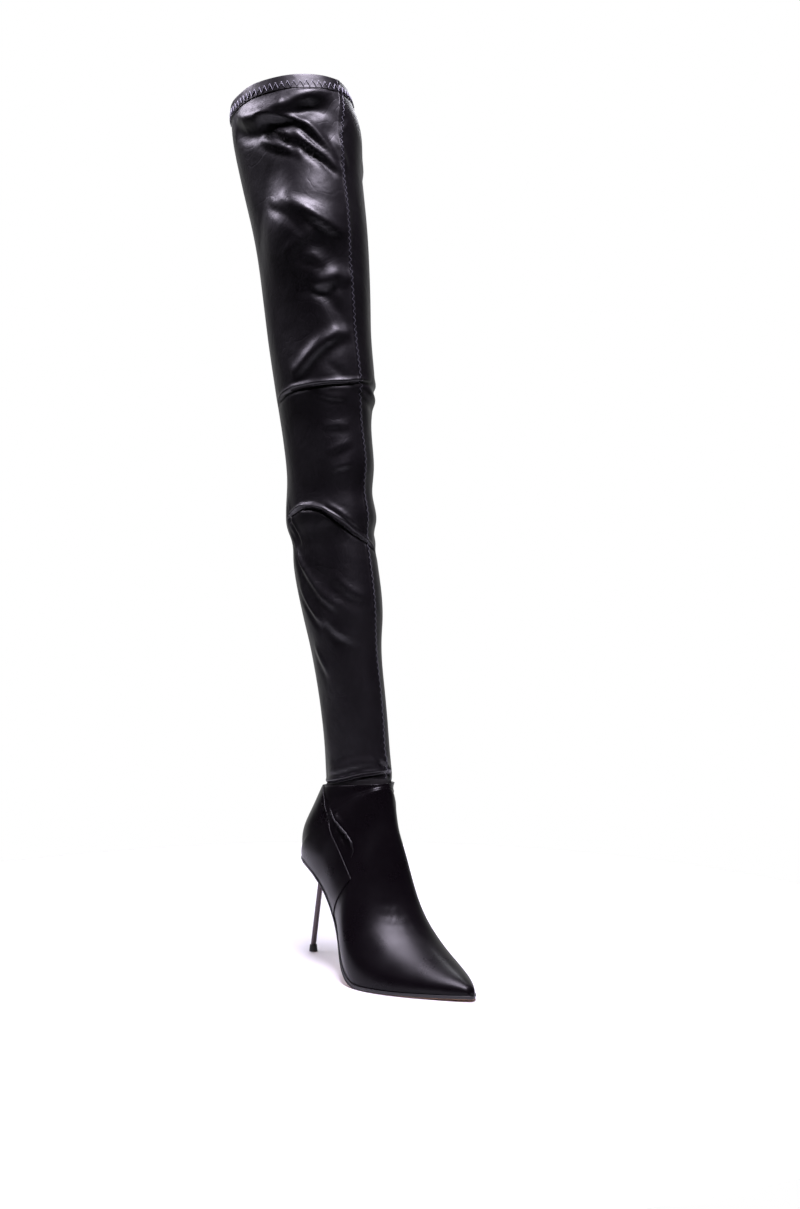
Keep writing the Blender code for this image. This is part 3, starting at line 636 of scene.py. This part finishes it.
def roll(name, across, line, radius, finish, slim=0.0):
    """A round folded edge along (front, up) points in millimetres, on the side that across points to."""
    curve = bpy.data.curves.new(name, "CURVE")
    curve.dimensions = "3D"
    curve.bevel_depth = 1.0
    curve.bevel_resolution = 2
    curve.use_fill_caps = True
    line = np.array(line, float)
    runs = np.concatenate([[0.0], np.cumsum(np.linalg.norm(np.diff(line, axis=0), axis=1))])
    shares = np.linspace(0.0, 1.0, ROLL_POINTS)
    spline = curve.splines.new("POLY")
    spline.points.add(len(shares) - 1)
    for point, share in zip(spline.points, shares):
        front = np.interp(share * runs[-1], runs, line[:, 0])
        up = np.interp(share * runs[-1], runs, line[:, 1])
        start = Vector((across * RAY_START, -front / 1000, up / 1000))
        near, square = vamp_skin.ray_cast(start, Vector((-across, 0.0, 0.0)))[:2]
        point.radius = radius * (1 - slim * (1 - math.sin(math.pi * share) ** 0.7))
        point.co = (*(near + square * point.radius * ROLL_RISE), 1.0)
    made = bpy.data.objects.new(name, curve)
    bpy.context.scene.collection.objects.link(made)
    mesh = bpy.data.meshes.new_from_object(made.evaluated_get(bpy.context.evaluated_depsgraph_get()))
    bpy.data.objects.remove(made)
    rolled = bpy.data.objects.new(name, mesh)
    bpy.context.scene.collection.objects.link(rolled)
    mesh.shade_smooth()
    mesh.materials.clear()
    mesh.materials.append(finish)
    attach(rolled, "root")


for name, across in (("quarter_edge_outer", -1), ("quarter_edge_inner", 1)):
    roll(name, across, QUARTER_EDGE[1:-1] + [(42.3, 160.4)], EDGE_RADIUS, satin)
    gusset_fold = [(64, 144), (74, 136), (83, 131), (92, 124), (99, 117), (102, 110), (101, 104)]
    roll(name.replace("quarter_edge", "gusset_fold"), across, gusset_fold, FOLD_RADIUS, stretch, 0.9)

# Sole and sock
# A thin leather sole, cut out and glued on, with its edge dyed black and its underside left natural.
# A sock of the lining's cloth lies inside on the insole board.
outsole = refined("outsole", "sole", 2)
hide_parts("outsole")
# Vegetable-tanned leather: pale tan and fibrous underneath, with a waxed black edge that shines a little.
sole, tree, shader = material("sole_leather")
facing = add(tree, "ShaderNodeNewGeometry")
down = add(tree, "ShaderNodeSeparateXYZ", (), {0: facing.outputs["Normal"]})
under = add(
    tree,
    "ShaderNodeMapRange",
    {"From Min": -0.45, "From Max": -0.75, "To Min": 0.0, "To Max": 1.0},
    {"Value": down.outputs["Z"]},
)
tint = add(tree, "ShaderNodeMix", {"data_type": "RGBA"}, {0: under.outputs["Result"]})
tint.inputs[6].default_value = linear("#0c0b0c")
tint.inputs[7].default_value = linear("#b08a6c")
tree.links.new(tint.outputs[2], shader.inputs["Base Color"])
where = add(tree, "ShaderNodeTexCoord").outputs["Object"]
fibre = add(tree, "ShaderNodeTexNoise", {"Scale": 1400.0, "Detail": 3.0}, {"Vector": where}).outputs["Fac"]
gloss = add(tree, "ShaderNodeMapRange", {"To Min": 0.34, "To Max": 0.54}, {"Value": fibre})
tree.links.new(gloss.outputs["Result"], shader.inputs["Roughness"])
relief = add(tree, "ShaderNodeBump", {"Strength": 0.2, "Distance": 0.0001}, {"Height": fibre})
tree.links.new(relief.outputs["Normal"], shader.inputs["Normal"])
outsole.data.materials.append(sole)
insole = refined("insole", "inner_sock", 2)
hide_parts("insole")
insole.data.materials.append(lining)

# Heel
# A steel pin, turned, polished and plated dark, that is screwed into the heel seat. A polyurethane tip
# is moulded with a blind socket and pressed on the pin's end.
pin = refined("heel_pin", "pin", 2)
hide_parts("heel_pin")
# Black-nickel plated steel: a dark brownish mirror, blurred by the fine rings that turning leaves. The rings
# are about 0.05 mm apart and are drawn 0.17 mm apart, so that they show.
steel, tree, shader = material("gunmetal_plated_steel")
shader.inputs["Base Color"].default_value = linear("#4a4345")
shader.inputs["Metallic"].default_value = 1.0
where = add(tree, "ShaderNodeTexCoord").outputs["Object"]
turning = add(tree, "ShaderNodeMapping", {"Scale": (200.0, 200.0, 6000.0)}, {"Vector": where})
rings = add(tree, "ShaderNodeTexNoise", {"Scale": 1.0, "Detail": 2.0}, {"Vector": turning.outputs[0]})
lathe = rings.outputs["Fac"]
gloss = add(tree, "ShaderNodeMapRange", {"To Min": 0.2, "To Max": 0.36}, {"Value": lathe})
tree.links.new(gloss.outputs["Result"], shader.inputs["Roughness"])
relief = add(tree, "ShaderNodeBump", {"Strength": 0.15, "Distance": 0.00005}, {"Height": lathe})
tree.links.new(relief.outputs["Normal"], shader.inputs["Normal"])
pin.data.materials.append(steel)
tip = refined("heel_tip", "tip", 2)
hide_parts("heel_tip")
# Moulded polyurethane: black and satin, with the fine pits of its mould.
tip.data.materials.append(grained("moulded_polyurethane", "#0b0b0c", "#151516", 0.46, 0.6, 0.3))

# Studio
# A round table covered with white paper, soft lights above it and above the camera, and pale walls behind
# the boot. The camera sees plain white round the table.
TABLE_RADIUS = 0.64
bm = bmesh.new()
bmesh.ops.create_circle(bm, cap_ends=True, segments=96, radius=TABLE_RADIUS)
mesh = bpy.data.meshes.new("floor")
bm.to_mesh(mesh)
bm.free()
floor = bpy.data.objects.new("floor", mesh)
bpy.context.scene.collection.objects.link(floor)
# Background paper: white and matt, with a faint tooth.
floor.data.materials.append(grained("white_paper", "#dcdcde", "#e4e4e6", 0.8, 2.0, 0.1))

# Light comes from the walls round this direction, and hardly from the others.
WALLS = (ahead + right * 0.12 - Vector((0, 0, 0.36))).normalized()
world = bpy.data.worlds.new("studio")
world.use_nodes = True
tree = world.node_tree
way = add(tree, "ShaderNodeTexCoord").outputs["Generated"]
toward = add(tree, "ShaderNodeVectorMath", {"operation": "DOT_PRODUCT", 1: WALLS}, {0: way})
walls = add(
    tree,
    "ShaderNodeMapRange",
    {"From Min": 0.5, "From Max": 0.74, "To Min": 0.02, "To Max": 0.6},
    {"Value": toward.outputs["Value"]},
)
seen = add(tree, "ShaderNodeLightPath").outputs["Is Camera Ray"]
level = add(tree, "ShaderNodeMath", {"operation": "MAXIMUM"}, {0: walls.outputs["Result"], 1: seen})
tree.nodes["Background"].inputs["Color"].default_value = (1, 1, 1, 1)
tree.links.new(level.outputs[0], tree.nodes["Background"].inputs["Strength"])
bpy.context.scene.world = world


def softbox(name, place, target, size, power, colour):
    """A square area light aimed at a point."""
    lamp = bpy.data.lights.new(name, "AREA")
    lamp.shape = "RECTANGLE"
    lamp.size, lamp.size_y = size
    lamp.energy = power
    lamp.color = linear(colour)[:3]
    made = bpy.data.objects.new(name, lamp)
    made.location = place
    made.rotation_mode = "QUATERNION"
    made.rotation_quaternion = (Vector(target) - Vector(place)).to_track_quat("-Z", "Y")
    bpy.context.scene.collection.objects.link(made)
    return made


KEY_PLACE = -ahead * 0.72 + right * 0.22 + Vector((0, 0, 2.4))
SIDE_PLACE = ahead * 0.63 - right * 1.36 + Vector((0, 0, 1.95))
TABLE_PLACE = ahead * 2.2 + Vector((0, 0, 2.3))
softbox("key", KEY_PLACE, (0, 0, 0.3), (0.9, 0.8), 88, "#f3eaff")
softbox("top_light", Vector((0.0, -0.15, 2.3)), (0, -0.15, 0), (0.6, 0.6), 26, "#f3eaff")
side_light = softbox("side_light", SIDE_PLACE, (0, 0, 0.8), (1.1, 0.7), 7, "#f3eaff")
side_light.data.spread = math.radians(80)
softbox("table_light", TABLE_PLACE, (0, 0, 0), (2.4, 1.2), 62, "#f6f6ff")
bpy.context.scene.view_settings.view_transform = "Standard"
